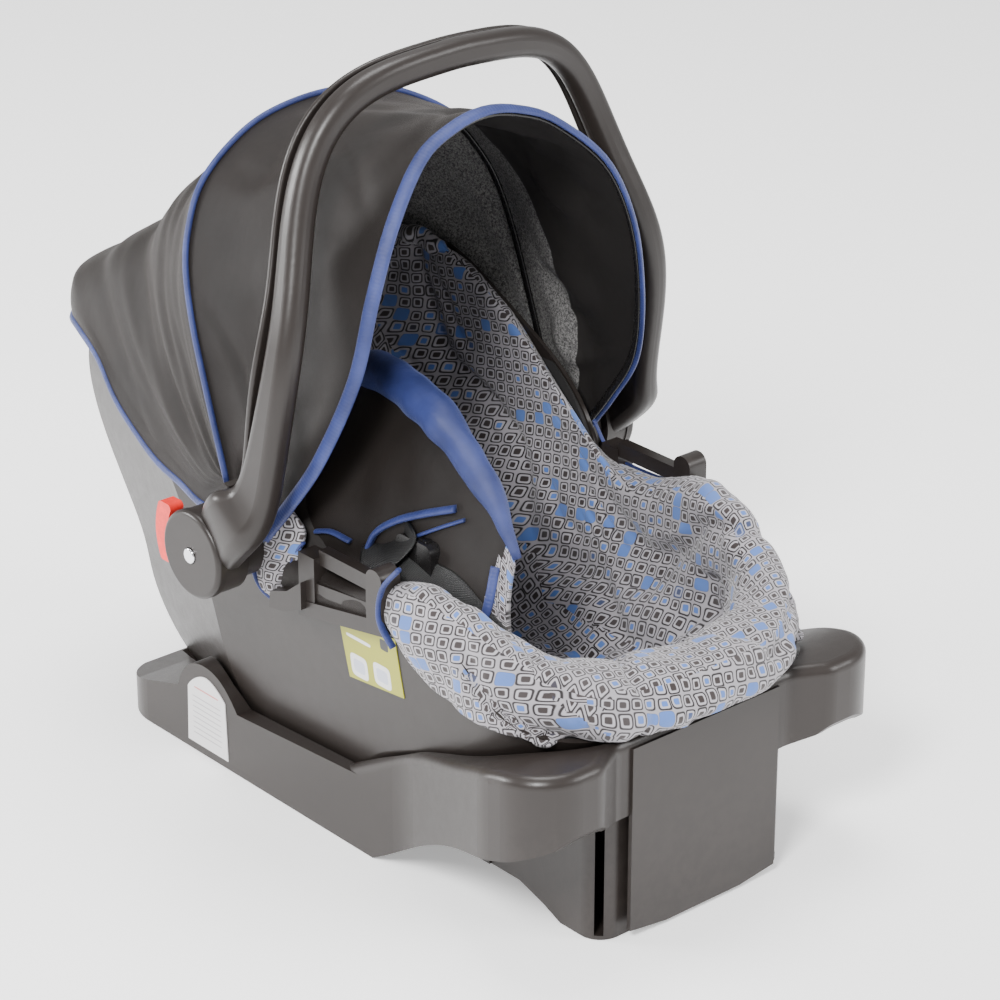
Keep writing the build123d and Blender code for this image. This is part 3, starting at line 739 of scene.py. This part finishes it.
def rim(angle):
    """The height of the inner wall's top, and how far the rounded rim rises above it."""
    y = bowl_point(0.28, angle)[1]
    for _ in range(4):
        top = np.interp(y, PAD_TOP[:, 0], PAD_TOP[:, 1])
        y = bowl_point(top, angle)[1]
    roll = max(0.008, np.linalg.norm(outer_point(top, angle) - bowl_point(top, angle))) / 2
    crown = min(roll, 0.020)
    return top - crown, crown


def flap(angle, wall_top):
    """Points down the pad's outside, puffed out at the foot end."""
    y_out = outer_point(wall_top, angle)[1]
    low = wall_top - 0.012
    if y_out < FLAP_LOW[-1, 0]:
        low = min(np.interp(y_out, FLAP_LOW[:, 0], FLAP_LOW[:, 1]), wall_top - 0.004)
    points = []
    for t in np.linspace(0, 1, FLAP_STEPS + 1):
        point = outer_point(wall_top + (low - wall_top) * t, angle)
        puff = 0.006 * sin(pi * min(1, t * 1.05)) if y_out < -0.15 else 0
        away = np.array((point[0], point[1] + 0.12, 0))
        points.append(point + away / np.linalg.norm(away) * puff)
    return points


def pad_rows():
    """Rows from the middle of the seat up the wall, over the rim and down the outside."""
    centre = np.array((0, -0.115, BOWL[0, 0] - 0.002))
    columns = []
    for angle in np.linspace(0, 2 * pi, AROUND, endpoint=False):
        edge = bowl_point(BOWL[0, 0], angle)
        wall_top, crown = rim(angle)
        column = [centre + (edge - centre) * (0.02 + 0.98 * k / FLOOR_STEPS) for k in range(FLOOR_STEPS)]
        for z in np.linspace(BOWL[0, 0], wall_top, WALL_STEPS, endpoint=False):
            column.append(bowl_point(z, angle))
        inner, outer = bowl_point(wall_top, angle), outer_point(wall_top, angle)
        outside = []
        for turn in np.linspace(0, pi, RIM_STEPS, endpoint=False):
            point = (inner + outer) / 2 + (inner - outer) / 2 * cos(turn)
            point[2] = wall_top + crown * sin(turn) ** 0.8
            outside.append(point)
        outside += flap(angle, wall_top)
        for point in outside:
            point[0] = under_canopy(point)
        columns.append(column + outside)
    return np.array(columns).transpose(1, 0, 2)


def cloth_uv(obj):
    """UVs in metres that follow the pad: across the seat on floor and back, lengthwise on walls."""
    mesh = obj.data
    back = np.array(((-400, 260), (-345, 190), (-318, 208), (-290, 190), (-258, 150), (-212, 118),
                     (-172, 106), (-58, 106), (-14, 126), (42, 165), (92, 205), (160, 260),
                     (246, 330), (322, 410))) * MM
    along = np.concatenate([[0], np.cumsum(np.hypot(np.diff(back[:, 0]), np.diff(back[:, 1])))])
    layer = mesh.uv_layers["cloth"]
    for face in mesh.polygons:
        n = face.normal
        for loop in face.loop_indices:
            v = mesh.vertices[mesh.loops[loop].vertex_index].co
            if abs(n.x) > 0.66:
                uv = (v.y * 1.02 + 0.5 * v.x, v.z + 2)
            elif n.y < -0.72 and v.y < -0.30:
                uv = (v.x, v.z - 3)
            else:
                uv = (v.x, np.interp(v.y, back[:, 0], along))
            layer.data[loop].uv = uv


def outside_shell(rows, gap):
    """Move each point of the flap out, level, until it clears the shell's skin by gap."""
    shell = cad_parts["carrier_shell"]
    into = shell.matrix_world.inverted()
    for row in rows:
        for p in row:
            middle = np.array((0.0, np.clip(p[1], -0.24, 0.20), p[2]))
            away = p - middle
            reach = np.linalg.norm(away)
            away /= reach
            far = into @ Vector(middle + away * 0.5)
            hit, place, _, _ = shell.ray_cast(far, (into.to_3x3() @ Vector(-away)).normalized())
            if hit:
                skin = (np.array(shell.matrix_world @ place) - middle).dot(away)
                if reach - 0.03 < skin < reach + 0.02 and reach < skin + gap:
                    p[:] = middle + away * (skin + gap)


def behind_wing(place):
    """Whether place is on the left armrest, which the loose wing leaves black."""
    return place.x < -0.120 and -0.139 < place.y < 0.075 and place.z > 0.18


def pad():
    """The pad's whole cover: seat, back, sides, foot roll and the flap outside the shell."""
    rows = pad_rows()
    outside_shell(rows[-(FLAP_STEPS + 1):], 0.006)
    cover = grid_object("pad_cover", rows, closed=True)
    mesh = cover.data
    seat = FLOOR_STEPS * AROUND
    if sum(v.normal.z for v in mesh.vertices[:seat]) < 0:
        mesh.flip_normals()
        mesh.update()
    normals = [v.normal.copy() for v in mesh.vertices]
    cloth_uv(cover)
    for v, n in zip(mesh.vertices, normals):
        p = np.array(v.co)
        soft = 0.005 * ripple(p, 13, 5.0) + 0.0022 * ripple(p, 38, 9.0)
        for scale, seed, depth in ((8, 21.0, 0.009), (15, 33.0, 0.0055), (29, 47.0, 0.002)):
            soft -= depth * max(0.0, 1 - 7 * abs(ripple(p, scale, seed))) ** 1.5
        inside = 1.0 if abs(p[0]) < 0.13 else 0.4
        soft *= 1.3 if p[1] < -0.13 else 1.0
        depth = pucker_depth(p) * (1.0 if p[2] < 0.215 and n.z > 0.25 else 0.0)
        v.co += n * float(soft * inside + 0.001 - depth)
        if n.z > 0.2 and abs(v.co.x) < 0.125 and -0.30 < v.co.y < 0.09:
            v.co.z = above_shell_floor(v.co, 0.0055)
    smooth(cover, 1)
    paint(cover, "print", "black")
    for face in mesh.polygons:
        face.material_index = int(behind_wing(face.center))
    solidify(cover, 0.003)
    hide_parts("seat_pad", "pad_foot_roll")
    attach(cover, "carrier")


# ---- the loose wing on the left -----------------------------------------------------------------
ROLL_PATH = np.array(((-58, 60, 338), (-62, 15, 358), (-75, -40, 376), (-85, -110, 371), (-90, -160, 348),
                      (-93, -194, 322), (-96, -222, 288))) * MM
WING_FOOT = np.array(((-158, 52, 252), (-158, 8, 246), (-150, -48, 236), (-140, -110, 222),
                      (-132, -160, 214), (-122, -206, 208), (-112, -240, 210))) * MM
WING_ACROSS, WING_DOWN = 60, 24
WING_PRINTED = -0.212   # nearer the foot end than this y, the wing is printed on both sides


def wing():
    """The wing and the roll on its upper edge. Returns the wing's points."""
    path = curve_points(ROLL_PATH, WING_ACROSS)
    foot = curve_points(WING_FOOT, WING_ACROSS)
    rows = []
    for k in range(WING_DOWN + 1):
        t = k / WING_DOWN
        row = []
        for j in range(WING_ACROSS):
            p = path[j] * (1 - t) + foot[j] * t
            p[0] -= 0.010 * sin(pi * t) + 0.006 * ripple(p, 12, 4.0) + 0.0025 * ripple(p, 30, 6.0)
            row.append(p)
        rows.append(row)
    sheet = grid_object("pad_wing_cloth", rows)
    smooth(sheet, 1)
    paint(sheet, "print", "black", "print", "print")
    for face in sheet.data.polygons:
        if face.center.y < WING_PRINTED:
            face.material_index = 2
    solidify(sheet, 0.007, offset=0, inner_slot=1)
    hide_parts("pad_wing")
    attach(sheet, "carrier")
    t = np.linspace(0, 1, WING_ACROSS)
    radii = np.interp(t, (0, 0.3, 0.6, 0.8, 1), (0.012, 0.0165, 0.0155, 0.0105, 0.0035))
    radii = radii * (1 + 0.05 * np.sin(t * 40) * np.sin(t * 17))
    roll = tube_object("pad_wing_piped_edge", path + np.array((0, 0, 0.004)), radii, sides=20)
    paint(roll, "blue")
    for v in roll.data.vertices:
        v.co += v.normal * float(0.0025 * ripple(np.array(v.co), 40, 8.0))
    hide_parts("pad_wing_roll")
    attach(roll, "carrier")
    return np.array(rows).reshape(-1, 3)


def on_wing(points, spots, lift=0.0055):
    """Points on the wing's outer face at each (y, z), in mm."""
    out = []
    for y, z in spots:
        near = points[np.argmin((points[:, 1] - y * MM) ** 2 + (points[:, 2] - z * MM) ** 2)]
        out.append(((near[0] - lift) / MM, y, z))
    return tuple(out)


def hub_patch():
    """The small printed corner of the pad between the guide and the hub."""
    left = curve_points(np.array(((-168, -14, 276), (-170, 3, 248), (-170, 9, 224), (-169, 2, 209),
                                  (-166, -8, 202))) * MM, 24)
    right = curve_points(np.array(((-160, -28, 284), (-160, -42, 268), (-160, -36, 246), (-160, -24, 226),
                                   (-162, -14, 206))) * MM, 24)
    rows = []
    for k in range(9):
        t = k / 8
        row = left * (1 - t) + right * t
        row[:, 0] -= 0.004 * sin(pi * t) + np.array([0.004 * ripple(p, 45, 2.0) for p in row])
        rows.append(row)
    patch = grid_object("pad_hub_corner", rows)
    smooth(patch, 1)
    paint(patch, "print")
    solidify(patch, 0.004, offset=0)
    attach(patch, "carrier")


# ---- bindings and straps ------------------------------------------------------------------------
def edging(name, path, radius, shade, body, flat=1.0, up=None):
    """A binding or a strap: a band along path, in mm, that rides on body."""
    points = curve_points(np.array(path) * MM, 10 * len(path))
    band = paint(tube_object(name, points, radius * MM, flat, up), shade)
    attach(band, body)
    return band


def bindings(wing_points):
    """The blue bindings, and the black webs of the harness and its adjuster."""
    def on(*spots):
        return on_wing(wing_points, spots)

    blue = (("hub_patch_binding", ((-166, -22, 284), (-171, -6, 266), (-172.5, 7, 242), (-172, 9, 222),
                                   (-170, 2, 208), (-167, -10, 201)), 3.4),
            ("hub_patch_inner_binding", ((-163, -44, 262), (-163, -32, 246), (-164, -24, 226)), 2.4),
            ("flap_binding", ((-166, -166, 284), (-171, -153, 266), (-172.5, -149, 246), (-172, -152, 232),
                              (-170, -163, 218)), 3.8),
            ("wing_front_binding", on((-213, 286), (-216, 262), (-214, 240), (-208, 224)), 4.0),
            ("slot_upper_binding", on((-92, 262), (-100, 282), (-118, 297), (-140, 308), (-166, 318)), 5.0),
            ("slot_lower_binding", on((-138, 290), (-158, 302), (-176, 312)), 2.6),
            ("guide_binding", on((-40, 266), (-56, 270), (-76, 268)), 3.4),
            ("far_recess_binding", ((158, -30, 272), (162, -42, 250), (163, -60, 243), (163, -100, 243),
                                    (162, -128, 248), (160, -148, 258)), 2.2))
    for name, path, radius in blue:
        edging(name, path, radius, "binding", "carrier", 0.55)
    edging("belt_web_upper", (*on((-132, 298)), (-128, -128, 286), (-138, -116, 270), (-150, -100, 262)),
           17, "webbing", "carrier", 0.12, (-0.62, 0.1, 0.78))
    lower = on((-176, 262), (-206, 246), (-232, 230))
    edging("belt_web_lower", ((-146, -98, 258), (-138, -130, 262), *lower),
           14, "webbing", "carrier", 0.14, (-0.9, 0.1, 0.42))
    lap = edging("lap_web", ((-122, -142, 236), (-121, -142, 218), (-122, -142, 200)),
                 17.5, "webbing", "carrier", 0.07, (1, 0, 0))
    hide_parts("lap_strap")
    adjuster = edging("adjuster_web", ((0, -40, 51.7), (0, 20, 51.9), (0, 72, 61.6)),
                      13, "webbing", "carrier", 0.06, (0, 0, 1))
    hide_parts("adjuster_strap")


# ---- labels -------------------------------------------------------------------------------------
def label(name, ground, marks):
    """Plain label stock with plain printed shapes: (y, z, half width, half height, colour)."""
    m = Material(name, ground, 0.4)
    place = m.node("ShaderNodeSeparateXYZ")
    m.link(m.place("object"), place.inputs[0])
    tint = ground
    for y, z, wide, high, color in marks:
        across = m.math("DIVIDE", m.math("SUBTRACT", place.outputs[1], y * MM), wide * MM)
        up = m.math("DIVIDE", m.math("SUBTRACT", place.outputs[2], z * MM), high * MM)
        far = m.math("ADD", m.math("POWER", m.math("ABSOLUTE", across), 5),
                     m.math("POWER", m.math("ABSOLUTE", up), 5))
        tint = m.mix(m.ramp(far, 0.9, 1.1, 1, 0), tint, color)
    m.link(tint, m.shader.inputs["Base Color"])
    m.bump(m.noise(200.0), 0.00005)
    return m.done()


def labels():
    """The two labels: plain stock with plain shapes, and no lettering."""
    white, grey, red = (0.62, 0.62, 0.62), (0.32, 0.30, 0.32), (0.55, 0.16, 0.15)
    shade, black = (0.45, 0.47, 0.55), (0.02, 0.02, 0.02)
    green = label("label_green", (0.30, 0.30, 0.018), (
        (-98, 170, 10.5, 10.5, white), (-127, 173, 10.5, 10.5, white), (-98, 170, 7, 6, shade),
        (-127, 173, 7, 6, shade), (-134, 204, 5, 5, black), (-101, 196, 15, 1.6, white)))
    pale = label("label_white", (0.60, 0.59, 0.59), [
        (112, 62, 17, 0.7, red)] + [(112, z, 20, 0.5, grey) for z in range(18, 56, 5)])
    for node, stock in (("side_label", green), ("base_label", pale)):
        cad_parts[node].material_slots[0].material = stock


shades()
camera()
studio()
plastics()
canopy()
pad()
WING_POINTS = wing()
hub_patch()
bindings(WING_POINTS)
labels()
